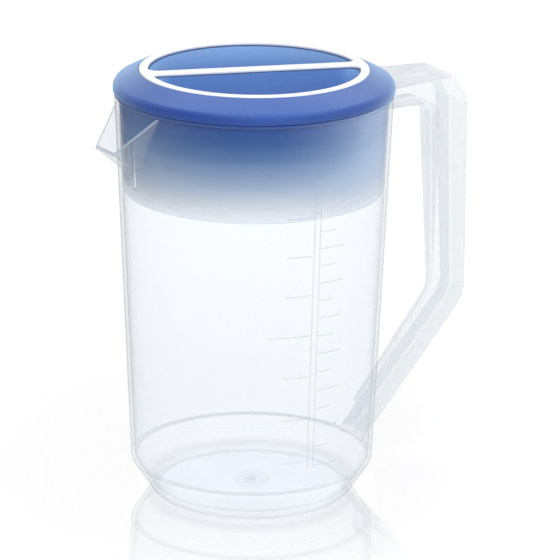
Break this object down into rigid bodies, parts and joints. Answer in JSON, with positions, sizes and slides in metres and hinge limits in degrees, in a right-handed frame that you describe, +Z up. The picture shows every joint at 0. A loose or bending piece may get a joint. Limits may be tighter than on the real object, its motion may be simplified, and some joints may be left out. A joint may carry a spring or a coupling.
{
  "type": "measuring jug",
  "caption": "Translucent measuring jug with a hopper spout, an I-section handle and a raised scale, and a lift-off lid whose finger-well cap turns in a sleeve.",
  "frame": {"origin": "on the table, under the middle of the bounding box; the jug's own axis is at x = -0.0176", "axes": "+Z up, +X toward the handle and -X toward the spout; the scale is on the -Y side"},
  "size_m": [0.196, 0.1334, 0.2088],
  "materials": {
    "natural_polypropylene": "milky and see-through, smooth, slightly glossy",
    "frosted_polypropylene": "milky and see-through, finely frosted",
    "blue_polypropylene": "opaque blue, satin",
    "white_polypropylene": "opaque white, satin"
  },
  "bodies": {
    "jug": {"jug_body": "natural_polypropylene", "pouring_spout": "natural_polypropylene", "carry_handle": "natural_polypropylene"},
    "sleeve": {"lid_sleeve": "frosted_polypropylene"},
    "cap": {"lid_collar": "blue_polypropylene", "lid_bowl": "blue_polypropylene", "finger_bar": "blue_polypropylene", "grip_trim": "white_polypropylene"}
  },
  "joints": [
    {"name": "lid_lift", "type": "slide", "parent": "jug", "child": "sleeve", "axis": [0, 0, 1], "range_m": [0, 0.06]},
    {"name": "lid_turn", "type": "hinge", "parent": "sleeve", "child": "cap", "pos_m": [-0.0176, 0, 0.2], "axis": [0, 0, 1], "continuous": true}
  ]
}
